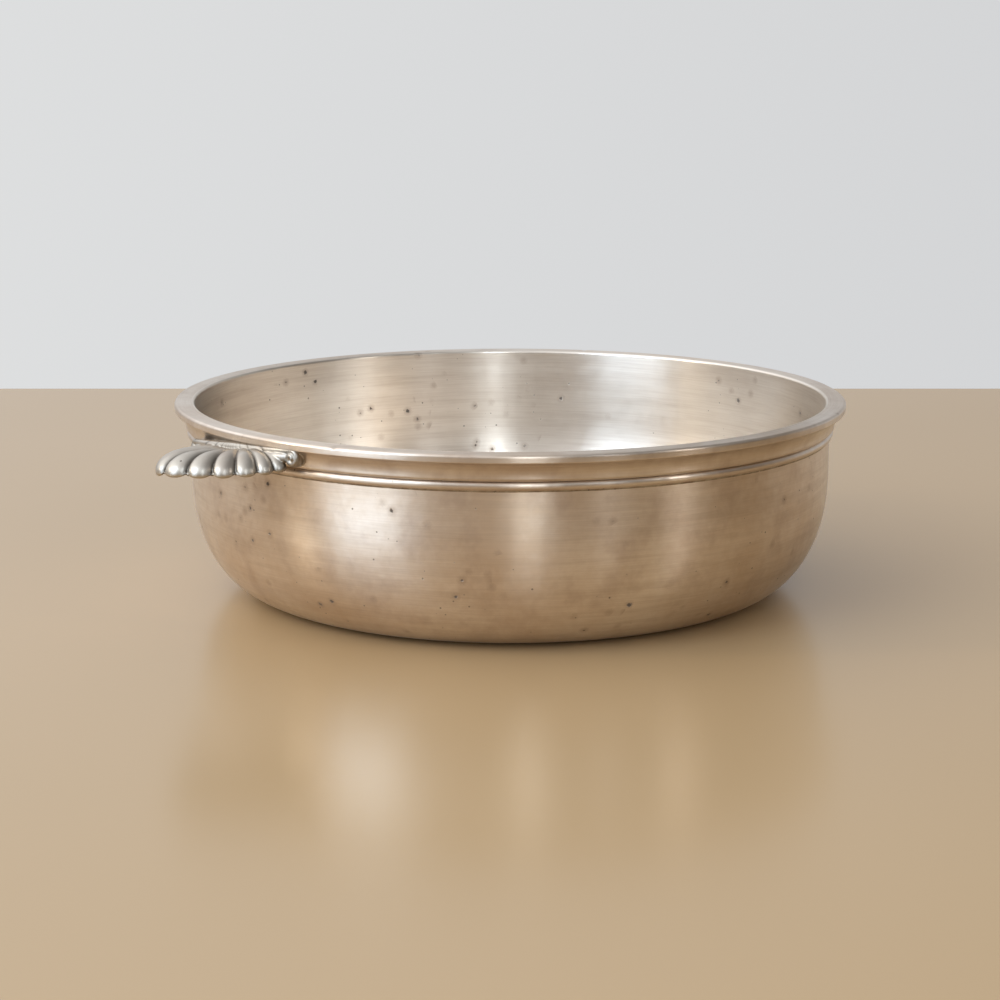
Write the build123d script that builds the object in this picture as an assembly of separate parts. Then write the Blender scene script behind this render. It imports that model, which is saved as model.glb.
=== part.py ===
from build123d import *
import math
import os

# Shaving bowl in millimetres: origin at the centre of the base, +Z up, shell handle along -X.

# rim and lip
RIM_R = 101.5  # outer radius of the rim's nose
HEIGHT = 58.2  # from the table to the flat lip
LIP_EDGE = 0.8  # roundings of the lip: inner edge and nose
NOSE_LOW_Z = 55.8  # lower end of the nose
NOSE_SET_BACK = 0.4  # how far the nose has turned in at its lower end

# frieze, the hollow band under the nose
FRIEZE_R = 98.3  # smallest radius of the hollow
FRIEZE_LOW_Z = 51.1  # where the hollow turns straight
COLLAR_LOW_Z = 50.4  # bottom edge of the collar
COLLAR_EDGE_R = 97.9

# body
WALL = 1.5
BODY_R = 96.8  # outer radius of the upright part of the wall
BASE_R = 71.0  # radius of the flat the bowl stands on
SHOULDER_Z = 37.6  # height where the curve turns upright
CURVE_POWER = 2.24  # fullness of the curve: 2 would be an ellipse
CURVE_STEPS = 9
FLARE_Z = 48.0  # the inside leans out a little above this height
FLARE = 0.2

# girdle wire and solder seams
BEAD_LOW_Z = 47.75
BEAD_HIGH_Z = 50.35
BEAD_OUT = 1.1  # how far the wire stands off the wall
SEAM_WIDE = 0.4  # half width of the lip seam, and its depth
LAND_OUT = 0.6  # the wire's lower side starts with a narrow flat that the fillet lies on
LAND_UP = 0.15
FILLET_LOW_Z = 46.9

# shell handle, drawn along +X and level, then tilted and turned to -X
FOCUS_X = 98.0  # where the flutes run together
FOCUS_Z = 52.6
SHELL_LOW_Z = 48.4  # lower edge of the longest lobes
FAN_LONG = 27.2  # reach of the fan straight out from the frieze
FAN_WIDE = 22.9  # reach of the fan along the frieze
FAN_POWER = 1.65
RIDGE_RISE_DEG = 5.0  # the ridges climb outwards by this much before they curl down
DOME_R = 120.0  # radius of the fan's arch from one side to the other
TILT_DEG = 4.5  # the shell sits out of level: its -Y end is the higher one
LOBE_HALF_DEG = [8.6, 8.6, 8.3, 8.2, 6.1, 5.2]  # half widths, from the middle outwards
LOBE_OVERLAP_DEG = 1.9  # each lobe is this much wider than its share, so flutes form
DISH_X = 101.0  # centre of the smooth hollow underneath
DISH_LONG = 22.0
DISH_WIDE = 20.5
DISH_DEEP = 5.2
DISH_Z = 46.0

# scrolls at the two ends of the shell's root
SCROLL_DEG = 13.8  # each scroll's bearing from the handle's centre line
SCROLL_R = 2.5
SCROLL_Z = 51.7
SCROLL_FACE_R = 101.5  # distance of the scroll's flat face from the bowl's axis
SCROLL_ROOT_R = 93.0  # the scroll's drum is drawn from here, inside the frieze
COIL_R = 0.7
EYE_R = 1.0
STEM_R = 1.45
STEM_TOP_Z = 53.9  # height of the stems' centre line where they meet
STEM_HALFWAY_DROP = 0.5
STEM_OUT = 0.9  # how far the stems stand off the narrowest part of the frieze
WEB_REACH = 9.5  # how far the root's web runs out from the frieze
WEB_WIDE = 16.0
WEB_LOW_Z = 50.8
WEB_HIGH_Z = 52.4
SOLDER_BED = 0.3  # thickness of the solder between the casting and the frieze
SOLDER_GROW = 0.6  # width of solder showing round the scrolls
SOLDER_TOP_Z = 55.7
BANK_TOP = [(22.0, 53.9), (12.0, 55.2), (0.0, 55.7)]  # (distance to the side, height)
BANK_LOW_Z = 50.6
CUT_REACH = 60.0  # size of the blocks that trim the handle, larger than the handle
WELL_INSIDE_R = 80.0  # well behind every outer surface of the handle


def curve_points(inset):
    """Points of the wall's curve from the base up to the shoulder, set in by `inset`."""
    across = BODY_R - BASE_R - inset
    up = SHOULDER_Z - inset
    points = []
    for i in range(CURVE_STEPS + 1):
        turn = math.pi / 2 * i / CURVE_STEPS
        out = math.sin(turn) ** (2 / CURVE_POWER)
        down = math.cos(turn) ** (2 / CURVE_POWER)
        points.append((BASE_R + across * out, SHOULDER_Z - up * down))
    return points


def spin(edges):
    """The solid swept round the Z axis by closed (radius, height) edges."""
    return revolve(Plane.XZ * make_face(edges), axis=Axis.Z)


def bowl_body():
    """Spun sheet: flat base, curved wall and the upright wall up to the lip."""
    outer = curve_points(0)
    inner = curve_points(WALL)
    inner_r = BODY_R - WALL
    top_r = inner_r + FLARE
    edge_z = HEIGHT - LIP_EDGE
    knee = LIP_EDGE * (1 - math.sqrt(0.5))
    seam_r = BODY_R - SEAM_WIDE
    edges = Spline(*outer, tangents=[(1, 0), (0, 1)])
    edges += Line(outer[-1], (BODY_R, HEIGHT - SEAM_WIDE))
    edges += Line((BODY_R, HEIGHT - SEAM_WIDE), (seam_r, HEIGHT))
    edges += Line((seam_r, HEIGHT), (top_r + LIP_EDGE, HEIGHT))
    edges += ThreePointArc(
        (top_r + LIP_EDGE, HEIGHT), (top_r + knee, HEIGHT - knee), (top_r, edge_z)
    )
    edges += Line((top_r, edge_z), (inner_r, FLARE_Z))
    edges += Line((inner_r, FLARE_Z), inner[-1])
    edges += Spline(*reversed(inner), tangents=[(0, -1), (-1, 0)])
    edges += Line(inner[0], (0, WALL))
    edges += Line((0, WALL), (0, 0))
    edges += Line((0, 0), outer[0])
    return spin(edges)


def collar_edges(inner_r):
    """Closed edges of the collar's section with its inner side at `inner_r`."""
    hollow_r = ((RIM_R - NOSE_SET_BACK - FRIEZE_R) ** 2 + (NOSE_LOW_Z - FRIEZE_LOW_Z) ** 2) / (
        2 * (RIM_R - NOSE_SET_BACK - FRIEZE_R)
    )
    half = math.atan2(NOSE_LOW_Z - FRIEZE_LOW_Z, hollow_r - (RIM_R - NOSE_SET_BACK - FRIEZE_R)) / 2
    hollow_mid = (
        FRIEZE_R + hollow_r * (1 - math.cos(half)),
        FRIEZE_LOW_Z + hollow_r * math.sin(half),
    )
    knee = LIP_EDGE * (1 - math.sqrt(0.5))
    under = NOSE_SET_BACK * (1 - math.sqrt(0.5))
    nose_low = (RIM_R - NOSE_SET_BACK, NOSE_LOW_Z)
    nose_turn = (RIM_R, NOSE_LOW_Z + NOSE_SET_BACK)
    nose_high = (RIM_R, HEIGHT - LIP_EDGE)
    lip_outer = (RIM_R - LIP_EDGE, HEIGHT)
    edges = Line((inner_r, COLLAR_LOW_Z), (COLLAR_EDGE_R, COLLAR_LOW_Z))
    edges += Line((COLLAR_EDGE_R, COLLAR_LOW_Z), (FRIEZE_R, FRIEZE_LOW_Z))
    edges += ThreePointArc((FRIEZE_R, FRIEZE_LOW_Z), hollow_mid, nose_low)
    edges += ThreePointArc(nose_low, (RIM_R - under, NOSE_LOW_Z + under), nose_turn)
    edges += Line(nose_turn, nose_high)
    edges += ThreePointArc(nose_high, (RIM_R - knee, HEIGHT - knee), lip_outer)
    if inner_r == BODY_R:
        edges += Line(lip_outer, (BODY_R + SEAM_WIDE, HEIGHT))
        edges += Line((BODY_R + SEAM_WIDE, HEIGHT), (BODY_R, HEIGHT - SEAM_WIDE))
        edges += Line((BODY_R, HEIGHT - SEAM_WIDE), (BODY_R, COLLAR_LOW_Z))
    else:
        edges += Line(lip_outer, (inner_r, HEIGHT))
        edges += Line((inner_r, HEIGHT), (inner_r, COLLAR_LOW_Z))
    return edges


def rim_collar():
    """Heavy rim mount: flat lip, rounded nose and the hollow frieze under it."""
    return spin(collar_edges(BODY_R))


def bead_wire():
    """Half-round girdle wire in the angle under the frieze."""
    land = (BODY_R + LAND_OUT, BEAD_LOW_Z + LAND_UP)
    middle = (BODY_R + BEAD_OUT, (BEAD_LOW_Z + BEAD_HIGH_Z) / 2)
    edges = Line((BODY_R, BEAD_LOW_Z), land)
    edges += ThreePointArc(land, middle, (BODY_R, BEAD_HIGH_Z))
    edges += Line((BODY_R, BEAD_HIGH_Z), (BODY_R, BEAD_LOW_Z))
    return spin(edges)


def rim_solder():
    """Solder filling the V between body and collar, dressed flush with the lip."""
    corners = [
        (BODY_R - SEAM_WIDE, HEIGHT),
        (BODY_R + SEAM_WIDE, HEIGHT),
        (BODY_R, HEIGHT - SEAM_WIDE),
    ]
    return spin(Polyline(*corners, close=True))


def bead_solder():
    """Thin fillet of solder along the lower edge of the girdle wire."""
    corners = [
        (BODY_R, FILLET_LOW_Z),
        (BODY_R + LAND_OUT, BEAD_LOW_Z + LAND_UP),
        (BODY_R, BEAD_LOW_Z),
    ]
    return spin(Polyline(*corners, close=True))


def fan_reach(bearing):
    """Length of the lobe at `bearing` degrees from the handle's centre line."""
    along = abs(math.cos(math.radians(bearing))) / FAN_LONG
    across = abs(math.sin(math.radians(bearing))) / FAN_WIDE
    return (along**FAN_POWER + across**FAN_POWER) ** (-1 / FAN_POWER)


def lobe(bearing, half_deg):
    """One round-ended tapering lobe whose ridge climbs gently out from the focus."""
    taper = half_deg + LOBE_OVERLAP_DEG
    slope = math.sin(math.radians(taper))
    centre = fan_reach(bearing) / (1 + slope)
    ball = centre * slope
    touch = (centre - ball * slope, ball * math.cos(math.radians(taper)))
    diagonal = math.sqrt(0.5)
    edges = Line((0, 0), touch)
    edges += ThreePointArc(touch, (centre + ball * diagonal, ball * diagonal), (centre + ball, 0))
    edges += Line((centre + ball, 0), (0, 0))
    drop = revolve(Plane.XZ * make_face(edges), axis=Axis.X)
    droop = math.degrees(fan_reach(bearing) * math.sin(math.radians(bearing)) ** 2 / (2 * DOME_R))
    dip = Rot(Y=taper - RIDGE_RISE_DEG + droop)
    return Pos(FOCUS_X, 0, FOCUS_Z) * Rot(Z=bearing) * dip * drop


def lobes():
    """All the lobes, laid out from the middle flute towards both sides."""
    fan = None
    edge = 0
    for half_deg in LOBE_HALF_DEG:
        for side in (1, -1):
            one = lobe(side * (edge + half_deg), half_deg)
            fan = one if fan is None else fan + one
        edge += 2 * half_deg
    return fan


def around(radius, bearing, height):
    """Point at `radius` and `bearing` degrees from +X, `height` above the table."""
    turn = math.radians(bearing)
    return (radius * math.cos(turn), radius * math.sin(turn), height)


def scroll_drum(side, radius):
    """Plain drum on a scroll's centre line, out to the scroll's face."""
    drum_long = SCROLL_FACE_R - SCROLL_ROOT_R
    facing = Rot(Z=side * SCROLL_DEG) * Pos(SCROLL_FACE_R, 0, SCROLL_Z) * Rot(Y=90)
    return facing * Pos(0, 0, -drum_long / 2) * Cylinder(radius, drum_long)


def scroll(side):
    """Round scroll facing outwards at one end of the root, with its coil and eye."""
    facing = Rot(Z=side * SCROLL_DEG) * Pos(SCROLL_FACE_R, 0, SCROLL_Z) * Rot(Y=90)
    coil = facing * Torus(SCROLL_R - COIL_R, COIL_R)
    eye = facing * Sphere(EYE_R)
    return scroll_drum(side, SCROLL_R) + coil + eye


def stem(side):
    """Round stem lying along the frieze from the middle of the root to a scroll."""
    lie_r = FRIEZE_R + STEM_OUT + STEM_R
    end = math.radians(SCROLL_DEG)
    path = Spline(
        around(lie_r, 0, STEM_TOP_Z),
        around(lie_r, side * SCROLL_DEG / 2, STEM_TOP_Z - STEM_HALFWAY_DROP),
        around(lie_r, side * SCROLL_DEG, SCROLL_Z),
        tangents=[(0, side, 0), (-math.sin(end), side * math.cos(end), 0)],
    )
    return sweep(Plane(origin=path @ 0, z_dir=path % 0) * Circle(STEM_R), path=path)


def web():
    """Flat web that ties lobes and stems together at the frieze."""
    high = WEB_HIGH_Z - WEB_LOW_Z
    oval = scale(Cylinder(1, high), by=(WEB_REACH, WEB_WIDE, 1))
    return Pos(FRIEZE_R, 0, WEB_LOW_Z + high / 2) * oval


def collar_core(grow):
    """Everything inside the collar's outer surface, moved out by `grow`."""
    return spin(collar_edges(WELL_INSIDE_R).moved(Location((grow, 0, 0))))


def below(level):
    """Block that takes away everything of the handle under a level."""
    return Pos(FOCUS_X, 0, level - CUT_REACH) * Box(2 * CUT_REACH, 2 * CUT_REACH, 2 * CUT_REACH)


def above(level):
    """Block that takes away everything of the handle over a level."""
    return Pos(FOCUS_X, 0, level + CUT_REACH) * Box(2 * CUT_REACH, 2 * CUT_REACH, 2 * CUT_REACH)


def tilted(drawn):
    """The level drawing of the handle tilted about its own centre line."""
    hinge = Pos(FOCUS_X, 0, FOCUS_Z)
    return hinge * Rot(X=TILT_DEG) * hinge.inverse() * drawn


def shell_handle():
    """Cast scallop shell with its root web, stems and scrolls, fitted to the frieze."""
    dish = scale(Sphere(1), by=(DISH_LONG, DISH_WIDE, DISH_DEEP))
    shell = lobes() - Pos(DISH_X, 0, DISH_Z) * dish - below(SHELL_LOW_Z)
    shell += web()
    for side in (1, -1):
        shell += stem(side)
        shell += scroll(side)
    bead_face = Pos(0, 0, COLLAR_LOW_Z / 2) * Cylinder(BODY_R + BEAD_OUT, COLLAR_LOW_Z)
    shell = tilted(shell) - bead_face - collar_core(SOLDER_BED)
    return Rot(Z=180) * shell


def handle_solder():
    """Bed of solder under the shell's root, showing as a thin bank all round it."""
    outline = [(-y, z) for y, z in BANK_TOP[:-1]] + list(reversed(BANK_TOP))
    outline += [(BANK_TOP[0][0], BANK_LOW_Z), (-BANK_TOP[0][0], BANK_LOW_Z)]
    face = Plane.YZ * make_face(Polyline(*outline, close=True))
    bank = Pos(WELL_INSIDE_R, 0, 0) * extrude(face, amount=CUT_REACH)
    for side in (1, -1):
        bank += scroll_drum(side, SCROLL_R + SOLDER_GROW)
    bed = (tilted(bank) & collar_core(SOLDER_BED)) - collar_core(0)
    return Rot(Z=180) * (bed - below(COLLAR_LOW_Z) - above(SOLDER_TOP_Z))


os.makedirs("parts", exist_ok=True)
export_step(bowl_body(), "parts/bowl_body.step")
export_step(rim_collar(), "parts/rim_collar.step")
export_step(bead_wire(), "parts/bead_wire.step")
export_step(rim_solder(), "parts/rim_solder.step")
export_step(bead_solder(), "parts/bead_solder.step")
export_step(shell_handle(), "parts/shell_handle.step")
export_step(handle_solder(), "parts/handle_solder.step")
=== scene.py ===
import math

import bpy
import numpy as np
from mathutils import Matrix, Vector


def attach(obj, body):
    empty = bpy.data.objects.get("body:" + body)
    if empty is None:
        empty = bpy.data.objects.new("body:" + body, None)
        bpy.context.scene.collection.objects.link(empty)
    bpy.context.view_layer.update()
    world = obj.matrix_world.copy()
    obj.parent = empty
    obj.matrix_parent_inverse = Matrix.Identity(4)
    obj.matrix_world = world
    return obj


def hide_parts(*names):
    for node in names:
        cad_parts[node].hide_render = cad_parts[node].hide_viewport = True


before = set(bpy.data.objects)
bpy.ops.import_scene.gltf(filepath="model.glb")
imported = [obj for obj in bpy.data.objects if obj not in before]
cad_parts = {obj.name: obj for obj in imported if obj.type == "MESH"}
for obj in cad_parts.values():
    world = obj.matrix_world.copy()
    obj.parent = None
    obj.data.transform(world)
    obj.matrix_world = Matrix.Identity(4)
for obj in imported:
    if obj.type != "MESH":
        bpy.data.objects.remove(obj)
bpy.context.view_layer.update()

MM = 0.001

# sizes in millimetres, the same as the CAD part's
RIM_R = 101.5
HEIGHT = 58.2
BODY_R = 96.8
WALL = 1.5
BASE_R = 71.0
SHOULDER_Z = 37.6
CURVE_POWER = 2.24
FRIEZE_R = 98.3
FRIEZE_LOW_Z = 51.1
COLLAR_LOW_Z = 50.4
COLLAR_EDGE_R = 97.9
NOSE_LOW_Z = 55.8
NOSE_ROUND = 0.4
LIP_ROUND = 0.85
BEAD_LOW_Z = 47.75
BEAD_HIGH_Z = 50.35
BEAD_OUT = 1.1
TUCK = 0.3  # how far a mount reaches in behind the sheet's outer face
PINHOLES = 46
TURNS = 720  # steps of a spun piece

# shell handle, drawn along +X and turned to -X
FOCUS_X = 98.0
FOCUS_Z = 52.6
SHELL_TOP_Z = 54.6
FAN_LONG = 26.75
FAN_WIDE = 22.7
FAN_POWER = 1.65
DOME_R = 120.0
TILT_DEG = 4.8
LOBE_HALF_DEG = [8.6, 8.6, 8.3, 8.2, 6.1, 5.2]
CURL_LONG = 9.0  # the lobes' down-curled ends
CURL_DEEP = 5.4
EDGE_R = 1.0
HEEL_LONG = 16  # where the fan dips towards its root
HEEL_DEEP = 2.0
FLUTE_LEAST = 0.12
FLUTE_DEEP = 1.15
FLUTE_LONG = 17
SCROLL_DEG = 13.8
SCROLL_Z = 51.6
SCROLL_SIZE = 2.0
SCROLL_TURNS = 1.35
ROLL_Z = 53.75
ROLL_OUT = 100.2

VIEW_AZIMUTH = -40.0


# ---------------------------------------------------------------- mesh helpers


def mesh_object(name, points, faces):
    """Smooth-shaded object from points in mm and a list of vertex tuples."""
    mesh = bpy.data.meshes.new(name)
    mesh.from_pydata((np.asarray(points) * MM).tolist(), [], faces)
    mesh.update()
    mesh.polygons.foreach_set("use_smooth", [True] * len(mesh.polygons))
    obj = bpy.data.objects.new(name, mesh)
    bpy.context.collection.objects.link(obj)
    return obj


def grid_faces(rows, cols, wrap_rows, wrap_cols, flip=False):
    """Quads of a rows by cols grid of points."""
    i = np.arange(rows if wrap_rows else rows - 1)
    j = np.arange(cols if wrap_cols else cols - 1)
    i, j = [a.ravel() for a in np.meshgrid(i, j, indexing="ij")]
    i2, j2 = (i + 1) % rows, (j + 1) % cols
    quads = np.stack([i * cols + j, i2 * cols + j, i2 * cols + j2, i * cols + j2], 1)
    if flip:
        quads = quads[:, ::-1]
    return quads.tolist()


def smooth_noise(angle, height, seed, waves, size_deg, size_mm):
    """Sum of seeded waves round the bowl and up it, between about -1 and 1."""
    draw = np.random.default_rng(seed)
    total = np.zeros_like(angle + height)
    top = int(360 / size_deg)
    for _ in range(waves):
        around_n = draw.integers(1, max(2, top))
        up_n = draw.uniform(-1, 1) * 2 * math.pi / size_mm
        total += np.sin(around_n * angle + up_n * height + draw.uniform(0, 2 * math.pi))
    return total / math.sqrt(waves)


def lathe(name, profile, closed, shape=None, turns=TURNS):
    """Spun mesh. profile is (radius, height) in mm, anticlockwise seen with +r right and +z up.
    An open profile starts and ends on the axis. shape(angle, r, z) returns moved r and z."""
    profile = np.asarray(profile, float)
    ring = profile if closed else profile[1:-1]
    angle = np.arange(turns) / turns * 2 * math.pi
    a = angle[:, None]
    r = np.repeat(ring[None, :, 0], turns, 0)
    z = np.repeat(ring[None, :, 1], turns, 0)
    if shape is not None:
        r, z = shape(a, r, z)
    points = np.stack([r * np.cos(a), r * np.sin(a), z], 2).reshape(-1, 3)
    cols = ring.shape[0]
    faces = grid_faces(turns, cols, True, closed)
    if not closed:
        base, top = len(points), len(points) + 1
        points = np.vstack([points, [[0, 0, profile[0, 1]], [0, 0, profile[-1, 1]]]])
        for i in range(turns):
            k = (i + 1) % turns
            faces.append((i * cols, base, k * cols))
            faces.append((k * cols + cols - 1, top, i * cols + cols - 1))
    return mesh_object(name, points, faces)


def arc(centre, radius, start_deg, end_deg, steps):
    """Points of an arc in the (radius, height) plane."""
    turn = np.radians(np.linspace(start_deg, end_deg, steps))
    return [(centre[0] + radius * math.cos(t), centre[1] + radius * math.sin(t)) for t in turn]


def line(start, end, steps):
    """Evenly spaced points between two points, the end left out."""
    s = np.linspace(0, 1, steps + 1)[:-1]
    return [(start[0] + (end[0] - start[0]) * t, start[1] + (end[1] - start[1]) * t) for t in s]


def tube(path, radii, sides, up, closed=False):
    """Points and faces of a tube along a path, with flat closed ends unless it is a loop."""
    path = np.asarray(path, float)
    radii = np.asarray(radii, float)
    if closed:
        ahead = np.roll(path, -1, 0) - np.roll(path, 1, 0)
    else:
        ahead = np.gradient(path, axis=0)
    ahead /= np.linalg.norm(ahead, axis=1)[:, None]
    side = np.cross(ahead, np.asarray(up, float))
    side /= np.linalg.norm(side, axis=1)[:, None]
    over = np.cross(side, ahead)
    turn = np.arange(sides) / sides * 2 * math.pi
    across = np.cos(turn)[None, :, None] * side[:, None, :]
    ring = across + np.sin(turn)[None, :, None] * over[:, None, :]
    points = path[:, None, :] + ring * radii[:, None, None]
    count = len(path)
    faces = grid_faces(count, sides, closed, True)
    points = points.reshape(-1, 3)
    if not closed:
        points = np.vstack([points, path[0], path[-1]])
        first, last = count * sides, count * sides + 1
        for j in range(sides):
            k = (j + 1) % sides
            faces.append((first, j, k))
            faces.append((last, (count - 1) * sides + k, (count - 1) * sides + j))
    return points, faces


# ---------------------------------------------------------------- spun pieces


def wall_curve(inset, steps):
    """Curve of the wall from the base to the shoulder, set in by inset."""
    across = BODY_R - BASE_R - inset
    up = SHOULDER_Z - inset
    turn = np.linspace(0, math.pi / 2, steps)
    out = np.sin(turn) ** (2 / CURVE_POWER)
    down = np.cos(turn) ** (2 / CURVE_POWER)
    return list(zip(BASE_R + across * out, SHOULDER_Z - up * down))


def spun_wobble(a, r, z):
    """Slight waves that hand spinning and years of knocks left in the sheet."""
    wide_wave = 0.03 * smooth_noise(a, z, seed=11, waves=10, size_deg=24, size_mm=60)
    short_wave = 0.012 * smooth_noise(a, z, seed=12, waves=14, size_deg=9, size_mm=26)
    fade = np.clip((z - 3.0) / 14.0, 0, 1) * np.clip((47.0 - z) / 10.0, 0, 1)
    return r + (wide_wave + short_wave) * fade, z


def make_bowl_body():
    """The spun sheet, from the middle of the base, up outside and down inside."""
    hub_r = 4
    band_z = SHOULDER_Z + 0.6
    joint_z = HEIGHT - 0.45
    lip_round = 0.8
    flare_z = 48
    inner_r = BODY_R - WALL
    top_r = inner_r + 0.2
    profile = [(0.0, 0.0)]
    profile += line((hub_r, 0), (BASE_R, 0), 12)
    profile += wall_curve(0, 70)
    profile += line((BODY_R, band_z), (BODY_R, joint_z), 18)
    profile += [(BODY_R, joint_z), (BODY_R - 0.1, HEIGHT - 0.12), (BODY_R - 0.3, HEIGHT - 0.02)]
    profile += arc((top_r + lip_round, HEIGHT - lip_round), lip_round, 90, 180, 9)
    profile += line((top_r, HEIGHT - 1.0), (inner_r, flare_z), 10)
    profile += line((inner_r, flare_z), (inner_r, band_z), 10)
    profile += list(reversed(wall_curve(WALL, 70)))
    profile += line((BASE_R - 1, WALL), (hub_r, WALL), 16)
    profile += [(3.0, WALL), (0.0, WALL)]
    return lathe("bowl_sheet", profile, False, spun_wobble)


def frieze_curve(steps):
    """The hollow of the frieze, from its straight foot up to the nose."""
    out = RIM_R - NOSE_ROUND - FRIEZE_R
    rise = NOSE_LOW_Z - FRIEZE_LOW_Z
    radius = (out**2 + rise**2) / (2 * out)
    end = 180 - math.degrees(math.atan2(rise, radius - out))
    return arc((FRIEZE_R + radius, FRIEZE_LOW_Z), radius, 180, end, steps)


def frieze_r(z):
    """Outer radius of the frieze at height z."""
    curve = np.array(frieze_curve(60))
    low = np.array([[COLLAR_EDGE_R, COLLAR_LOW_Z]])
    curve = np.vstack([low, curve, [[RIM_R, NOSE_LOW_Z + NOSE_ROUND]]])
    return np.interp(z, curve[:, 1], curve[:, 0])


NICKS = [  # bearing in degrees, half width in degrees, depth in mm
    (-158.0, 0.35, 0.45),
    (-60.0, 0.2, 0.25),
    (35.0, 0.25, 0.3),
    (118.0, 0.2, 0.25),
]


def rim_shape(a, r, z):
    """Small knocks in the lip and a slight waver of the nose."""
    waver = 0.04 * smooth_noise(a, z, seed=21, waves=8, size_deg=30, size_mm=90)
    r = r - np.abs(waver) * np.clip((r - 98.5) / 2, 0, 1)
    for bearing, half, depth in NICKS:
        off = np.degrees(np.angle(np.exp(1j * (a - math.radians(bearing)))))
        bite = depth * np.exp(-((off / half) ** 2))
        z = z - bite * np.clip((z - HEIGHT + 1.2) / 1.2, 0, 1) * np.clip((r - 99.0) / 2, 0, 1)
    return r, z


def make_collar():
    """Rim mount: straight foot, hollow frieze, rounded nose and flat lip."""
    profile = [(BODY_R - TUCK, COLLAR_LOW_Z), (BODY_R + 0.3, COLLAR_LOW_Z)]
    profile += [(COLLAR_EDGE_R - 0.25, COLLAR_LOW_Z), (COLLAR_EDGE_R - 0.08, COLLAR_LOW_Z + 0.06)]
    profile += [(COLLAR_EDGE_R + 0.03, COLLAR_LOW_Z + 0.2), (FRIEZE_R - 0.12, FRIEZE_LOW_Z - 0.2)]
    profile += frieze_curve(22)
    profile += arc((RIM_R - NOSE_ROUND, NOSE_LOW_Z + NOSE_ROUND), NOSE_ROUND, -75, 0, 6)
    profile += line((RIM_R, NOSE_LOW_Z + 0.55), (RIM_R, HEIGHT - LIP_ROUND), 4)
    profile += arc((RIM_R - LIP_ROUND, HEIGHT - LIP_ROUND), LIP_ROUND, 0, 90, 10)
    profile += line((RIM_R - 1.2, HEIGHT), (BODY_R + 0.4, HEIGHT), 8)
    profile += [(BODY_R + 0.3, HEIGHT - 0.02), (BODY_R + 0.1, HEIGHT - 0.12), (BODY_R, HEIGHT - 0.4)]
    profile += line((BODY_R - 0.02, HEIGHT - 0.6), (BODY_R - TUCK, COLLAR_LOW_Z + 0.2), 4)
    return lathe("rim_mount", profile, True, rim_shape)


def make_bead():
    """Half-round girdle wire."""
    middle_z = (BEAD_LOW_Z + BEAD_HIGH_Z) / 2
    half = (BEAD_HIGH_Z - BEAD_LOW_Z) / 2
    radius = (half**2 + BEAD_OUT**2) / (2 * BEAD_OUT)
    centre_r = BODY_R + BEAD_OUT - radius
    sweep_deg = math.degrees(math.asin(half / radius))
    profile = arc((centre_r, middle_z), radius, -sweep_deg, sweep_deg, 22)
    profile += [(BODY_R - TUCK, BEAD_HIGH_Z - 0.1), (BODY_R - TUCK, BEAD_LOW_Z + 0.1)]

    def shape(a, r, z):
        dip = 0.03 * smooth_noise(a, z * 0, seed=31, waves=12, size_deg=4, size_mm=50)
        return np.where(r > BODY_R, r - np.abs(dip), r), z

    return lathe("girdle_bead", profile, True, shape)


def make_lip_seam():
    """Dressed solder line between sheet and mount, a hair below the lip."""
    half = 0.36
    top_half = 0.3
    low_z = HEIGHT - 0.1
    top_z = HEIGHT - 0.03
    profile = [(BODY_R - half, low_z), (BODY_R, HEIGHT - 0.4), (BODY_R + half, low_z)]
    profile += [(BODY_R + top_half, top_z), (BODY_R, HEIGHT - 0.035), (BODY_R - top_half, top_z)]
    return lathe("lip_seam", profile, True)


def make_bead_fillet():
    """Uneven fillet of solder under the girdle wire, with pinholes along it."""
    holes = np.random.default_rng(41).uniform(0, 2 * math.pi, PINHOLES)
    wide = np.random.default_rng(42).uniform(0.3, 1.0, PINHOLES)

    def shape(a, r, z):
        lump = 0.5 + 0.5 * smooth_noise(a, z * 0, seed=43, waves=18, size_deg=2, size_mm=50)
        outer = np.clip((r - BODY_R) / 0.35, 0, 1)
        low = np.clip((48.0 - z) / 0.6, 0, 1)
        z = z - 0.22 * np.clip(lump, 0, 1) * low * outer
        for where, size in zip(holes, wide):
            off = np.angle(np.exp(1j * (a - where))) * BODY_R
            r = r - 0.3 * outer * np.exp(-((off / (0.45 * size)) ** 2))
        return r, z

    profile = [(BODY_R - 0.2, 47.35), (BODY_R + 0.06, 47.4), (BODY_R + 0.2, 47.62)]
    profile += [(BODY_R + 0.38, 47.85), (BODY_R + 0.5, 48.05), (BODY_R - 0.2, 48.1)]
    return lathe("bead_fillet", profile, True, shape, turns=1440)


# ---------------------------------------------------------------- shell handle


def fan_reach(theta):
    """Reach of the fan in mm at theta radians from the centre line."""
    along = np.abs(np.cos(theta)) / FAN_LONG
    across = np.abs(np.sin(theta)) / FAN_WIDE
    return (along**FAN_POWER + across**FAN_POWER) ** (-1 / FAN_POWER)


def lobe_place(theta_deg):
    """Across-lobe place, -1 to 1 between flutes, and the lobe's half width in degrees."""
    edges = np.concatenate([[0], np.cumsum(2 * np.array(LOBE_HALF_DEG))])
    t = np.minimum(np.abs(theta_deg), edges[-1] - 1e-6)
    i = np.clip(np.searchsorted(edges, t, side="right") - 1, 0, len(LOBE_HALF_DEG) - 1)
    half = np.array(LOBE_HALF_DEG)[i]
    return (t - edges[i]) / half - 1, half


def lobe_sink(u):
    """0 on a lobe's ridge, 1 in the flute beside it, along a rounded section."""
    reach = 0.96
    low = math.sqrt(1 - reach**2)
    return (1 - np.sqrt(1 - (reach * u) ** 2)) / (1 - low)


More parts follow.
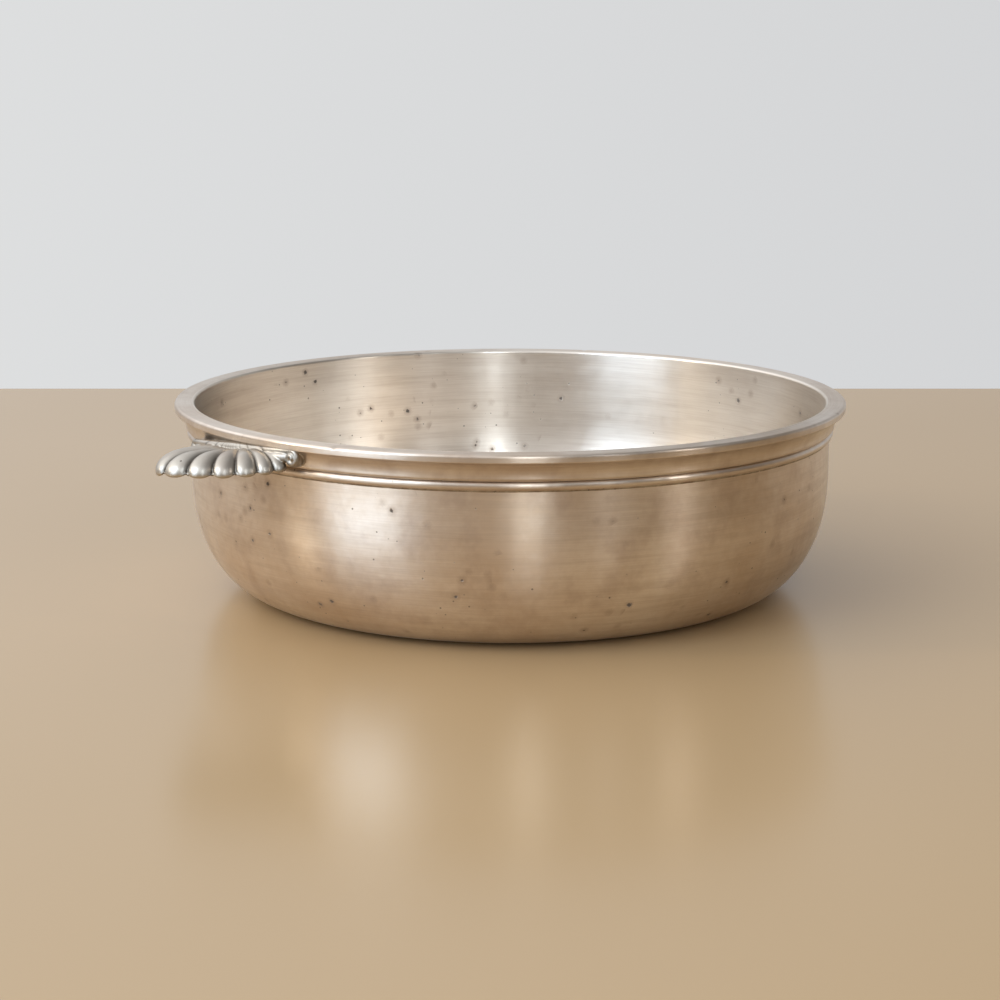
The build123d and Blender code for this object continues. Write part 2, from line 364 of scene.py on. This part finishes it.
def fan_section(theta, half_deg):
    """Section of the fan along one bearing: points, outward normals and flute depths."""
    reach = float(fan_reach(theta))
    curl_long = CURL_LONG * reach / FAN_LONG
    curl_deep = CURL_DEEP - 1.9 * (1 - math.cos(theta)) ** 1.5
    start = 0.6
    level_end = reach - curl_long
    rows = []
    for s in np.linspace(0, 1, 26)[:-1]:
        rho = start + (level_end - start) * s
        rise = -HEEL_DEEP * (1 - min(rho / HEEL_LONG, 1)) ** 2
        depth = FLUTE_LEAST + FLUTE_DEEP * (rho / FLUTE_LONG) ** 1.2
        rows.append((rho, SHELL_TOP_Z + rise, 0, 1, depth))
    for s in np.linspace(0, math.pi / 2, 26)[:-1]:
        rho = level_end + curl_long * math.sin(s)
        z = SHELL_TOP_Z - curl_deep * (1 - math.cos(s))
        nx, nz = math.sin(s) / curl_long, math.cos(s) / curl_deep
        size = math.hypot(nx, nz)
        depth = FLUTE_LEAST + FLUTE_DEEP * (min(rho, FLUTE_LONG) / FLUTE_LONG) ** 1.2
        depth = depth + 0.75 * (s / (math.pi / 2)) ** 1.5
        rows.append((rho, z, nx / size, nz / size, depth))
    low_z = SHELL_TOP_Z - curl_deep
    for s in np.linspace(0, math.pi, 12)[:-1]:
        rho = reach - EDGE_R + EDGE_R * math.cos(s)
        z = low_z - EDGE_R * math.sin(s)
        rows.append((rho, z, math.cos(s), -math.sin(s), 2.0 - 1.2 * s / math.pi))
    under_long, under_deep = curl_long - 2 * EDGE_R, curl_deep - 2.3
    for s in np.linspace(math.pi / 2, 0, 16)[:-1]:
        rho = level_end + under_long * math.sin(s)
        z = low_z + under_deep * math.cos(s)
        rows.append((rho, z, 0, -1, -0.3 - 0.4 * s / (math.pi / 2)))
    for s in np.linspace(1, 0, 12):
        rho = start + (level_end - start) * s
        rows.append((rho, low_z + under_deep, 0, -1, -0.3 * s))
    rows = np.array(rows)
    scale = min(1.0, half_deg / 8.4) ** 0.8
    rows[:, 4] *= scale
    return rows


def fan_grid():
    """Points and faces of the fluted fan, closed at its root and side edges."""
    edge = 0.0
    half_side = []
    for half in LOBE_HALF_DEG:
        s = np.linspace(-1, 1, 27)
        s = np.sign(s) * np.abs(s) ** 0.8
        half_side += list(edge + half + half * s[:-1])
        edge += 2 * half
    half_side.append(edge - 1e-4)
    half_side = np.array(half_side)
    bearings = np.concatenate([-half_side[::-1][:-1], half_side])
    columns = []
    for deg in bearings:
        u, half = lobe_place(np.array([deg]))
        rows = fan_section(math.radians(deg), float(half[0]))
        sink = float(lobe_sink(u)[0])
        rho = rows[:, 0] - rows[:, 2] * rows[:, 4] * sink
        z = rows[:, 1] - rows[:, 3] * rows[:, 4] * sink
        t = math.radians(deg)
        y = rho * math.sin(t)
        columns.append(np.stack([FOCUS_X + rho * math.cos(t), y, z - y**2 / (2 * DOME_R)], 1))
    grid = np.array(columns)
    rows_n, cols_n = grid.shape[0], grid.shape[1]
    faces = grid_faces(rows_n, cols_n, False, True, flip=True)
    points = grid.reshape(-1, 3)
    first = len(points)
    points = np.vstack([points, grid[0].mean(0), grid[-1].mean(0)])
    for j in range(cols_n):
        k = (j + 1) % cols_n
        faces.append((first, j, k))
        faces.append((first + 1, (rows_n - 1) * cols_n + k, (rows_n - 1) * cols_n + j))
    return points, faces


def polar(radius, deg, z):
    """Point at radius and bearing from +X."""
    t = math.radians(deg)
    return (radius * math.cos(t), radius * math.sin(t), z)


def tilted(points):
    """The level drawing of the handle tilted about its own centre line."""
    t = math.radians(TILT_DEG)
    out = np.array(points, float)
    y, z = out[:, 1].copy(), out[:, 2] - FOCUS_Z
    out[:, 1] = y * math.cos(t) - z * math.sin(t)
    out[:, 2] = FOCUS_Z + y * math.sin(t) + z * math.cos(t)
    return out


def stem_and_scroll(side):
    """Smooth roll along the frieze that winds up into the scroll at one end of the root."""
    path, radii = [], []
    for s in np.linspace(0, 1, 30)[:-1]:
        deg = side * SCROLL_DEG * s
        z = ROLL_Z + (SCROLL_Z + SCROLL_SIZE - ROLL_Z) * s**2
        path.append(polar(ROLL_OUT + 0.4 * s, deg, z))
        radii.append(1.6 - 0.7 * s)
    for s in np.linspace(0, 1, 60):
        turn = math.pi / 2 - 2 * math.pi * SCROLL_TURNS * s
        size = SCROLL_SIZE * (1 - 0.86 * s)
        along = size * math.cos(turn) + 0.15 * s
        deg = side * (SCROLL_DEG + math.degrees(along / 100.0))
        path.append(polar(100.6 + 0.8 * s, deg, SCROLL_Z + size * math.sin(turn)))
        radii.append(0.9 - 0.1 * s)
    return tube(path, radii, sides=18, up=(1, 0, 0))


def blob(centre, sizes, tilt_deg=0.0, rings=24, sides=36):
    """Rounded block: a superellipsoid whose middle is at centre."""
    v = np.linspace(-math.pi / 2, math.pi / 2, rings)
    w = np.arange(sides) / sides * 2 * math.pi

    def power(x, p):
        return np.sign(x) * np.abs(x) ** p

    x = power(np.cos(v), 0.8)[:, None] * np.cos(w)[None, :]
    y = power(np.cos(v), 0.8)[:, None] * np.sin(w)[None, :]
    z = np.repeat(power(np.sin(v), 0.8)[:, None], sides, 1)
    points = np.stack([x * sizes[0], y * sizes[1], z * sizes[2]], 2).reshape(-1, 3)
    t = math.radians(tilt_deg)
    turned = points.copy()
    turned[:, 0] = points[:, 0] * math.cos(t) - points[:, 1] * math.sin(t)
    turned[:, 1] = points[:, 0] * math.sin(t) + points[:, 1] * math.cos(t)
    return turned + np.array(centre), grid_faces(rings, sides, False, True)


def join(parts):
    """Several (points, faces) as one."""
    points, faces, start = [], [], 0
    for p, f in parts:
        points.append(p)
        faces += [tuple(int(i) + start for i in face) for face in f]
        start += len(p)
    return np.vstack(points), faces


def seat_on_frieze(points, depth):
    """Brings everything that lies inside the frieze out to just under its surface."""
    r = np.hypot(points[:, 0], points[:, 1])
    limit = frieze_r(points[:, 2]) - depth
    scale = np.maximum(1.0, limit / r)
    out = points.copy()
    out[:, :2] *= scale[:, None]
    return out


def remeshed(name, parts, voxel, smooth_steps):
    """One clean skin round overlapping closed parts, as a casting has."""
    points, faces = join(parts)
    points = points * np.array([-1, -1, 1])
    rough = mesh_object(name + "_rough", points, faces)
    skin = rough.modifiers.new("skin", "REMESH")
    skin.mode = "VOXEL"
    skin.voxel_size = voxel * MM
    skin.use_smooth_shade = True
    even = rough.modifiers.new("even", "SMOOTH")
    even.factor = 0.5
    even.iterations = smooth_steps
    deps = bpy.context.evaluated_depsgraph_get()
    mesh = bpy.data.meshes.new_from_object(rough.evaluated_get(deps))
    bpy.data.objects.remove(rough)
    mesh.name = name
    obj = bpy.data.objects.new(name, mesh)
    bpy.context.collection.objects.link(obj)
    mesh.polygons.foreach_set("use_smooth", [True] * len(mesh.polygons))
    return obj


def mesh_points(obj):
    """Vertex places in mm."""
    flat = np.empty(len(obj.data.vertices) * 3)
    obj.data.vertices.foreach_get("co", flat)
    return flat.reshape(-1, 3) / MM


def store(obj, name, values):
    """Per-vertex number that the material reads."""
    layer = obj.data.attributes.new(name, "FLOAT", "POINT")
    layer.data.foreach_set("value", np.asarray(values, np.float32))


def make_shell():
    """The cast scallop shell with its root, stems and scrolls as one skin."""
    parts = [fan_grid()]
    for side in (1, -1):
        parts.append(stem_and_scroll(side))
        centre = polar(99.6, side * SCROLL_DEG, SCROLL_Z)
        parts.append(blob(centre, (1.9, 2.6, 2.6), side * SCROLL_DEG))
        parts.append(blob(polar(100.4, side * 11.0, 51.9), (1.9, 4.6, 1.5), side * 11.0))
        parts.append(blob(polar(99.6, side * 6.4, 52.9), (1.5, 9.5, 1.5), side * 6.4))
    parts.append(blob((FRIEZE_R, 0, 51.7), (9.0, 17.5, 1.15)))
    parts = [(seat_on_frieze(tilted(points), 0.35), faces) for points, faces in parts]
    obj = remeshed("shell_grip", parts, voxel=0.2, smooth_steps=3)
    where = mesh_points(obj)
    x, y = -where[:, 0] - FOCUS_X, -where[:, 1]
    theta = np.degrees(np.arctan2(y, x))
    rho = np.hypot(x, y)
    u, _ = lobe_place(np.clip(theta, -89.9, 89.9))
    reach = fan_reach(np.radians(theta))
    # Darkening for the casting: darker along the flutes between the lobes, with painted shade on the low
    # under-curled part of the fan and on the scroll ends.
    flute = np.clip((np.abs(u) - 0.72) / 0.28, 0, 1) ** 1.3 * np.clip((rho - 2) / 4, 0, 1)
    flute = flute * (rho < reach + 1)
    flute = flute * (0.7 + 0.3 * np.clip((rho / reach - 0.55) / 0.3, 0, 1))
    # Painted shade on the low, under-curled part of the fan.
    under = np.clip((52.0 - where[:, 2]) / 4.0, 0, 1) * np.clip((reach - rho) / 3, 0, 1)
    bearing = np.degrees(np.arctan2(-where[:, 1], -where[:, 0]))
    # Painted shade that darkens the scroll ends so they shine less.
    scroll = np.clip((np.abs(bearing) - 11.0) / 2.0, 0, 1)
    store(obj, "dark_flutes_and_shade", np.clip(flute + 0.35 * under + 0.3 * scroll, 0, 1))
    return obj


def make_root_solder():
    """Thin uneven fillet of solder round the shell's root."""
    draw = np.random.default_rng(51)
    joint_r = 100.0
    top_z = 55.0
    foot_z = 50.9
    round_r = 2.55

    def round_scroll(side, turns):
        for turn in turns:
            t = math.radians(turn)
            deg = side * (SCROLL_DEG + math.degrees(round_r * math.cos(t) / FOCUS_X))
            path.append(polar(joint_r, deg, SCROLL_Z + round_r * math.sin(t)))

    path = []
    for deg in np.linspace(-13.0, 13.0, 100):
        s = abs(deg) / SCROLL_DEG
        path.append(polar(joint_r, deg, top_z - 1.6 * s**2))
    round_scroll(1, np.linspace(80, -80, 24))
    for deg in np.linspace(13.4, -13.4, 90):
        path.append(polar(joint_r, deg, foot_z))
    round_scroll(-1, np.linspace(-80, 80, 24))
    path = tilted(path)
    path[:, 2] = np.clip(path[:, 2], COLLAR_LOW_Z + 0.3, NOSE_LOW_Z - 0.1)
    path[:, :2] *= ((frieze_r(path[:, 2]) - 0.02) / np.hypot(path[:, 0], path[:, 1]))[:, None]
    lump = draw.uniform(0.22, 0.42, len(path))
    lump = (np.roll(lump, 1) + lump + np.roll(lump, -1)) / 3
    loop = tube(path, lump, sides=12, up=(1, 0.01, 0), closed=True)
    return remeshed("root_solder", [loop], voxel=0.12, smooth_steps=2)


# ---------------------------------------------------------------- materials


class Nodes:
    """Short forms for building a material's node tree."""

    def __init__(self, name):
        self.material = bpy.data.materials.new(name)
        self.material.use_nodes = True
        self.tree = self.material.node_tree
        self.tree.nodes.clear()
        self.out = self.tree.nodes.new("ShaderNodeOutputMaterial")

    def new(self, kind, inputs=None, **settings):
        node = self.tree.nodes.new(kind)
        for key, value in settings.items():
            setattr(node, key, value)
        for key, value in (inputs or {}).items():
            if isinstance(value, bpy.types.NodeSocket):
                self.tree.links.new(value, node.inputs[key])
            else:
                node.inputs[key].default_value = value
        return node

    def place(self):
        """The point shaded, in mm."""
        coords = self.new("ShaderNodeTexCoord").outputs["Object"]
        scaled = self.new("ShaderNodeVectorMath", {0: coords, 3: 1 / MM}, operation="SCALE")
        return scaled.outputs[0]

    def math(self, operation, a, b=0.0, clamp=False):
        node = self.new("ShaderNodeMath", {0: a, 1: b}, operation=operation, use_clamp=clamp)
        return node.outputs[0]

    def vector(self, x, y, z):
        return self.new("ShaderNodeCombineXYZ", {0: x, 1: y, 2: z}).outputs[0]

    def noise(self, vector, scale, detail=2.0, rough=0.5):
        inputs = {"Vector": vector, "Scale": scale, "Detail": detail, "Roughness": rough}
        return self.new("ShaderNodeTexNoise", inputs).outputs["Fac"]

    def span(self, value, low, high, to_low=0.0, to_high=1.0):
        inputs = {0: value, 1: low, 2: high, 3: to_low, 4: to_high}
        return self.new("ShaderNodeMapRange", inputs, clamp=True).outputs[0]

    def mix(self, factor, a, b):
        node = self.new("ShaderNodeMix", data_type="RGBA")
        for socket, value in ((0, factor), (6, a), (7, b)):
            if isinstance(value, bpy.types.NodeSocket):
                self.tree.links.new(value, node.inputs[socket])
            else:
                node.inputs[socket].default_value = value
        return node.outputs[2]

    def bump(self, height, strength, distance_mm, normal=None):
        inputs = {"Height": height, "Strength": strength, "Distance": distance_mm * MM}
        if normal is not None:
            inputs["Normal"] = normal
        return self.new("ShaderNodeBump", inputs).outputs[0]


def rgb(r, g, b):
    return (r, g, b, 1.0)


def place_of(bearing, radius, z):
    """Point in the part's frame in mm from a bearing seen from the camera's side."""
    t = math.radians(bearing - 90 + VIEW_AZIMUTH)
    return (radius * math.cos(t), radius * math.sin(t), z)


WORN_PLACES = [  # bearing from the camera's side, radius, height, reach in mm: pits gather here
    (-7.5, 95.0, 22.0, 15.0),
    (-52.0, 96.5, 34.0, 24.0),
    (-33.0, 90.0, 14.0, 16.0),
    (-20.0, 96.8, 44.0, 12.0),
    (14.0, 93.0, 15.0, 14.0),
    (62.0, 96.0, 36.0, 12.0),
    (-155.0, 95.0, 40.0, 34.0),
    (-178.0, 95.0, 34.0, 22.0),
]


def silver(name, bright, tarnish, pits=1.0, rough=0.3, lines=1.0, dark_flutes_and_shade=None, inside=None):
    """Worn silver plate: turning lines, soft tarnish clouds and dark pits with brown halos. Given
    inside, the inner face gets a brighter colour as painted light.
    """
    n = Nodes(name)
    mm = n.place()
    xyz = n.new("ShaderNodeSeparateXYZ", {0: mm})
    x, y, z = xyz.outputs
    radius = n.math("SQRT", n.math("ADD", n.math("MULTIPLY", x, x), n.math("MULTIPLY", y, y)))
    run = n.math("ADD", radius, z)
    dir_x = n.math("DIVIDE", x, n.math("MAXIMUM", radius, 1.0))
    dir_y = n.math("DIVIDE", y, n.math("MAXIMUM", radius, 1.0))

    def ringed(turn, rise, detail, roughness):
        along_x = n.math("MULTIPLY", dir_x, turn)
        along_y = n.math("MULTIPLY", dir_y, turn)
        at = n.vector(along_x, along_y, n.math("MULTIPLY", run, rise))
        return n.noise(at, 1.0, detail, roughness)

    fine = ringed(5.0, 2.4, 3.0, 0.7)
    broad = ringed(2.6, 0.34, 3.0, 0.6)
    cloud = n.noise(mm, 0.024, 3.0, 0.5)
    speckle = n.noise(mm, 0.35, 3.0, 0.6)
    tone = n.span(n.math("ADD", n.math("MULTIPLY", cloud, 0.8), n.math("MULTIPLY", speckle, 0.2)),
                  0.36, 0.64)
    colour = n.mix(tone, bright, tarnish)
    stain = n.span(n.noise(mm, 0.085, 4.0, 0.62), 0.50, 0.68, 0.0, 0.34)
    colour = n.mix(stain, colour, rgb(0.44, 0.33, 0.27))
    gloss = n.math("ADD", rough, n.math("MULTIPLY", n.math("SUBTRACT", speckle, 0.5), 0.05))
    # The inner face takes a brighter copy of the plate colour: painted light for the light bounced round
    # inside the bowl.
    if inside is not None:
        facing = n.new("ShaderNodeNewGeometry").outputs["True Normal"]
        outward = n.new("ShaderNodeVectorMath", {0: mm, 1: (0.0, 0.0, HEIGHT)}, operation="SUBTRACT")
        outward = n.new("ShaderNodeVectorMath", {0: outward.outputs[0], 1: facing},
                        operation="DOT_PRODUCT").outputs["Value"]
        lit_inner_face = n.math("LESS_THAN", outward, 0.0)
        colour = n.mix(n.math("MULTIPLY", lit_inner_face, 0.8), colour, inside)
    streaks = n.math("ADD", n.math("MULTIPLY", fine, 0.45), n.math("MULTIPLY", broad, 0.55))
    colour = n.mix(n.span(streaks, 0.42, 0.68, 0.0, 0.34 * lines), colour, rgb(0.40, 0.30, 0.22))

    worn = n.span(n.noise(mm, 0.035, 2.0, 0.5), 0.5, 0.68, 0.0, 0.6)
    for bearing, far, high, reach in WORN_PLACES:
        off = n.new("ShaderNodeVectorMath", {0: mm, 1: place_of(bearing, far, high)},
                    operation="DISTANCE").outputs["Value"]
        worn = n.math("MAXIMUM", worn, n.span(off, 0.25 * reach, reach, 1.0, 0.0))

    spread = n.new("ShaderNodeTexVoronoi", {"Vector": mm, "Scale": 0.23, "Randomness": 1.0})
    chance = n.new("ShaderNodeSeparateColor", {0: spread.outputs["Color"]})
    limit = n.math("ADD", 0.035, n.math("MULTIPLY", chance.outputs[1], 0.12))
    keep = n.math("GREATER_THAN", n.math("ADD", chance.outputs[0], n.math("MULTIPLY", worn, 0.34)),
                  1.08 - 0.12 * pits)
    wander = n.math("MULTIPLY", n.math("SUBTRACT", n.noise(mm, 1.8, 2.0), 0.5), 0.22)
    ragged = n.math("ADD", spread.outputs["Distance"], wander)
    pit = n.math("MULTIPLY", n.span(n.math("SUBTRACT", ragged, limit), -0.03, 0.03, 1.0, 0.0), keep)
    halo = n.math("MULTIPLY", n.span(ragged, 0.0, 0.42, 1.0, 0.0), keep)
    colour = n.mix(n.math("MULTIPLY", halo, 0.45), colour, rgb(0.26, 0.15, 0.085))
    colour = n.mix(n.math("MULTIPLY", pit, 0.82), colour, rgb(0.045, 0.036, 0.03))

    dots = n.new("ShaderNodeTexVoronoi", {"Vector": mm, "Scale": 0.62, "Randomness": 1.0})
    dot_chance = n.new("ShaderNodeSeparateColor", {0: dots.outputs["Color"]})
    dot_keep = n.math("GREATER_THAN", n.math("ADD", dot_chance.outputs[0],
                                             n.math("MULTIPLY", worn, 0.16)), 1.02 - 0.04 * pits)
    dot_size = n.math("ADD", 0.07, n.math("MULTIPLY", dot_chance.outputs[1], 0.12))
    dot = n.span(n.math("SUBTRACT", dots.outputs["Distance"], dot_size), -0.04, 0.04, 1.0, 0.0)
    dot = n.math("MULTIPLY", dot, dot_keep)
    colour = n.mix(n.math("MULTIPLY", dot, 0.7), colour, rgb(0.085, 0.06, 0.045))

    # Darkens the colour where the mesh's mask says: along the flutes, and painted shade under the fan
    # and on the scrolls.
    if dark_flutes_and_shade is not None:
        flute_and_shade_mask = n.new("ShaderNodeAttribute", attribute_name=dark_flutes_and_shade).outputs["Fac"]
        patchy_flute_and_shade = n.math("MULTIPLY", flute_and_shade_mask, n.span(n.noise(mm, 0.7, 3.0), 0.25, 0.6, 0.8, 1.0))
        colour = n.mix(patchy_flute_and_shade, colour, rgb(0.050, 0.040, 0.032))

    gloss = n.math("ADD", gloss, n.math("MULTIPLY", tone, 0.04))
    gloss = n.math("ADD", gloss, n.math("MULTIPLY", halo, 0.05), clamp=True)

    normal = n.bump(streaks, 0.20 * lines, 0.10)
    normal = n.bump(n.noise(mm, 0.10, 2.0, 0.5), 0.14, 0.8, normal)
    hole = n.math("ADD", n.math("MULTIPLY", pit, -1.0), n.math("MULTIPLY", dot, -0.5))
    normal = n.bump(hole, 0.5, 0.2, normal)

    tangent = n.new("ShaderNodeTangent", direction_type="RADIAL", axis="Z").outputs[0]
    shader = n.new("ShaderNodeBsdfPrincipled", {
        "Base Color": colour,
        "Metallic": n.math("SUBTRACT", 1.0, n.math("MULTIPLY", pit, 0.8)),
        "Roughness": gloss,
        "Anisotropic": 0.75 * lines,
        "Anisotropic Rotation": 0.25,
        "Normal": normal,
        "Tangent": tangent,
    })
    n.tree.links.new(shader.outputs[0], n.out.inputs[0])
    return n.material


def solder_metal(name, colour_a, colour_b, rough):
    """Dull grey solder with dark porosity."""
    n = Nodes(name)
    mm = n.place()
    cloud = n.noise(mm, 0.35, 4.0, 0.6)
    colour = n.mix(n.span(cloud, 0.35, 0.65), colour_a, colour_b)
    holes = n.new("ShaderNodeTexVoronoi", {"Vector": mm, "Scale": 0.8, "Randomness": 1.0})
    hole = n.span(holes.outputs["Distance"], 0.10, 0.24, 1.0, 0.0)
    patchy = n.span(n.noise(mm, 0.12, 2.0), 0.45, 0.6)
    hole = n.math("MULTIPLY", hole, patchy)
    colour = n.mix(n.math("MULTIPLY", hole, 0.9), colour, rgb(0.03, 0.024, 0.02))
    normal = n.bump(n.math("SUBTRACT", n.noise(mm, 1.3, 3.0), hole), 0.5, 0.2)
    shader = n.new("ShaderNodeBsdfPrincipled", {
        "Base Color": colour, "Metallic": 0.95, "Roughness": rough, "Normal": normal,
    })
    n.tree.links.new(shader.outputs[0], n.out.inputs[0])
    return n.material


def floor_material():
    """Plain pale warm table top with a soft sheen."""
    n = Nodes("pale_floor")
    coords = n.new("ShaderNodeTexCoord").outputs["Object"]
    cloud = n.noise(coords, 3.0, 2.0, 0.5)
    colour = n.mix(n.span(cloud, 0.3, 0.7), rgb(0.475, 0.325, 0.172), rgb(0.505, 0.348, 0.190))
    shader = n.new("ShaderNodeBsdfPrincipled", {
        "Base Color": colour, "Roughness": 0.22, "Specular IOR Level": 0.5,
    })
    n.tree.links.new(shader.outputs[0], n.out.inputs[0])
    return n.material


# ---------------------------------------------------------------- build

# The inside colour is painted light: a brighter copy of the plate colour for the bowl's inner face.
plate = silver("worn_plate", rgb(0.85, 0.77, 0.69), rgb(0.67, 0.54, 0.42), inside=rgb(0.85, 0.79, 0.715))
plate_rim = silver("worn_plate_rim", rgb(0.81, 0.735, 0.66), rgb(0.66, 0.55, 0.45), pits=0.6)
cast = silver("cast_plate", rgb(0.60, 0.565, 0.51), rgb(0.46, 0.41, 0.35), pits=0.2, rough=0.34,
              lines=0.0, dark_flutes_and_shade="dark_flutes_and_shade")
seam = solder_metal("seam_solder", rgb(0.52, 0.46, 0.38), rgb(0.30, 0.24, 0.18), 0.42)
fillet = solder_metal("root_solder_metal", rgb(0.58, 0.54, 0.48), rgb(0.32, 0.28, 0.23), 0.38)

BUILT = [
    (make_bowl_body, "bowl_body", "plated_sheet", plate),
    (make_collar, "rim_collar", "plated_sheet", plate_rim),
    (make_bead, "bead_wire", "plated_sheet", plate_rim),
    (make_shell, "shell_handle", "plated_casting", cast),
    (make_lip_seam, "rim_solder", "hard_solder", plate_rim),
    (make_bead_fillet, "bead_solder", "hard_solder", seam),
    (make_root_solder, "handle_solder", "hard_solder", fillet),
]
for build, node, slot, material in BUILT:
    piece = build()
    piece.data.materials.clear()
    piece.data.materials.append(material)
    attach(piece, "root")
    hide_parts(node)

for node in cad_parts.values():
    node.data.materials.clear()
    node.data.materials.append(plate)


# ---------------------------------------------------------------- stage

CAMERA_R = 7.0  # distance in rim radii
CAMERA_DOWN = 11.72  # degrees
AIM = (-0.0301, 0.0, 0.249)  # in rim radii, x right and y away from the camera
LENS = 83.0
TABLE_BACK = 3.75  # rim radii from the bowl's centre to the table's far edge
TABLE_SIDE = 16
TABLE_FRONT = -12
LIGHT_UP = 0.82  # metres above the floor
LIGHT_AWAY = 1.8  # metres from the bowl


def seen(x, y, z):
    """Place given as right, away and up in rim radii, turned into the part's frame, in metres."""
    t = math.radians(VIEW_AZIMUTH)
    r = RIM_R * MM
    return Vector((x * math.cos(t) - y * math.sin(t), x * math.sin(t) + y * math.cos(t), z)) * r


camera_data = bpy.data.cameras.new("camera")
camera_data.lens = LENS
camera_data.sensor_width = 36.0
camera = bpy.data.objects.new("camera", camera_data)
bpy.context.collection.objects.link(camera)
down = math.radians(CAMERA_DOWN)
camera.location = seen(AIM[0], -CAMERA_R * math.cos(down), AIM[2] + CAMERA_R * math.sin(down))
look = seen(*AIM) - camera.location
camera.rotation_euler = look.to_track_quat("-Z", "Y").to_euler()
bpy.context.scene.camera = camera

corners = [(-TABLE_SIDE, TABLE_FRONT), (TABLE_SIDE, TABLE_FRONT)]
corners += [(TABLE_SIDE, TABLE_BACK), (-TABLE_SIDE, TABLE_BACK)]
floor_mesh = bpy.data.meshes.new("floor")
floor_mesh.from_pydata([seen(x, y, 0) for x, y in corners], [], [(0, 1, 2, 3)])
floor = bpy.data.objects.new("floor", floor_mesh)
floor.data.materials.append(floor_material())
bpy.context.collection.objects.link(floor)


def soft_box(name, bearing, wide, tall, power, colour):
    """Soft window-like light. bearing is degrees from the camera's side, plus to the right."""
    t = math.radians(bearing)
    data = bpy.data.lights.new(name, "AREA")
    data.shape = "RECTANGLE"
    data.size = wide
    data.size_y = tall
    data.energy = power
    data.color = colour
    obj = bpy.data.objects.new(name, data)
    scale = 1 / (RIM_R * MM)
    right, away = LIGHT_AWAY * math.sin(t), -LIGHT_AWAY * math.cos(t)
    obj.location = seen(right * scale, away * scale, LIGHT_UP * scale)
    aim = Vector((0, 0, 0.03)) - obj.location
    obj.rotation_euler = aim.to_track_quat("-Z", "Y").to_euler()
    obj.visible_camera = False
    bpy.context.collection.objects.link(obj)


soft_box("window_left", -50, 1.0, 1.6, 16.5, (0.66, 0.82, 1.0))
soft_box("window_mid", 6, 0.20, 1.4, 5.6, (0.82, 0.92, 1.0))
soft_box("window_right", 33, 0.14, 1.3, 1.2, (0.92, 0.96, 1.0))
soft_box("lamp_right", 61, 0.10, 0.9, 2.8, (1.0, 0.96, 0.90))
soft_box("lamp_left", -78, 0.10, 0.6, 4.4, (1.0, 0.88, 0.68))

world = bpy.data.worlds.new("room")
world.use_nodes = True
bpy.context.scene.world = world
tree = world.node_tree
tree.nodes.clear()


def room_node(kind, inputs, **settings):
    """Node of the room's light."""
    node = tree.nodes.new(kind)
    for key, value in settings.items():
        setattr(node, key, value)
    for key, value in inputs.items():
        if isinstance(value, bpy.types.NodeSocket):
            tree.links.new(value, node.inputs[key])
        else:
            node.inputs[key].default_value = value
    return node


turn = math.radians(VIEW_AZIMUTH)
toward = tree.nodes.new("ShaderNodeTexCoord").outputs["Generated"]
to_right = room_node("ShaderNodeVectorMath", {0: toward, 1: (math.cos(turn), math.sin(turn), 0)},
                     operation="DOT_PRODUCT").outputs["Value"]
to_top = room_node("ShaderNodeVectorMath", {0: toward, 1: (0, 0, 1)},
                   operation="DOT_PRODUCT").outputs["Value"]
to_back = room_node("ShaderNodeVectorMath", {0: toward, 1: (-math.sin(turn), math.cos(turn), 0)},
                    operation="DOT_PRODUCT").outputs["Value"]


def room_span(value, low, high):
    """0 where value is low and 1 where it is high."""
    return room_node("ShaderNodeMapRange", {0: value, 1: low, 2: high, 3: 0.0, 4: 1.0}).outputs[0]


def room_mix(factor, a, b):
    """Mix of two colours of the room."""
    return room_node("ShaderNodeMix", {0: factor, 6: a, 7: b}, data_type="RGBA").outputs[2]


# The backdrop seen by the camera is painted lighter at the left and darker at the right: painted shade
# for light falling from the left.
backdrop_shade_across = room_span(to_right, -0.25, 0.25)
room_side = room_span(to_right, -0.9, 0.4)
room_back = room_span(to_back, 0.0, 0.5)
room_top = room_span(to_top, 0.0, 0.55)
wall = room_mix(backdrop_shade_across, (0.730, 0.738, 0.742, 1), (0.655, 0.662, 0.672, 1))
side = room_mix(room_side, (0.15, 0.12, 0.09, 1), (0.08, 0.06, 0.045, 1))
side = room_mix(room_back, side, (0.56, 0.55, 0.54, 1))
top = room_mix(room_side, (1.90, 1.94, 2.0, 1), (0.28, 0.28, 0.28, 1))
room = room_mix(room_top, side, top)
w_out = tree.nodes.new("ShaderNodeOutputWorld")
w_back = room_node("ShaderNodeBackground", {0: wall, 1: 1.0})
w_room = room_node("ShaderNodeBackground", {0: room, 1: 1.0})
w_path = tree.nodes.new("ShaderNodeLightPath")
w_mix = tree.nodes.new("ShaderNodeMixShader")
tree.links.new(w_path.outputs["Is Camera Ray"], w_mix.inputs[0])
tree.links.new(w_room.outputs[0], w_mix.inputs[1])
tree.links.new(w_back.outputs[0], w_mix.inputs[2])
tree.links.new(w_mix.outputs[0], w_out.inputs[0])

bpy.context.scene.view_settings.view_transform = "Standard"
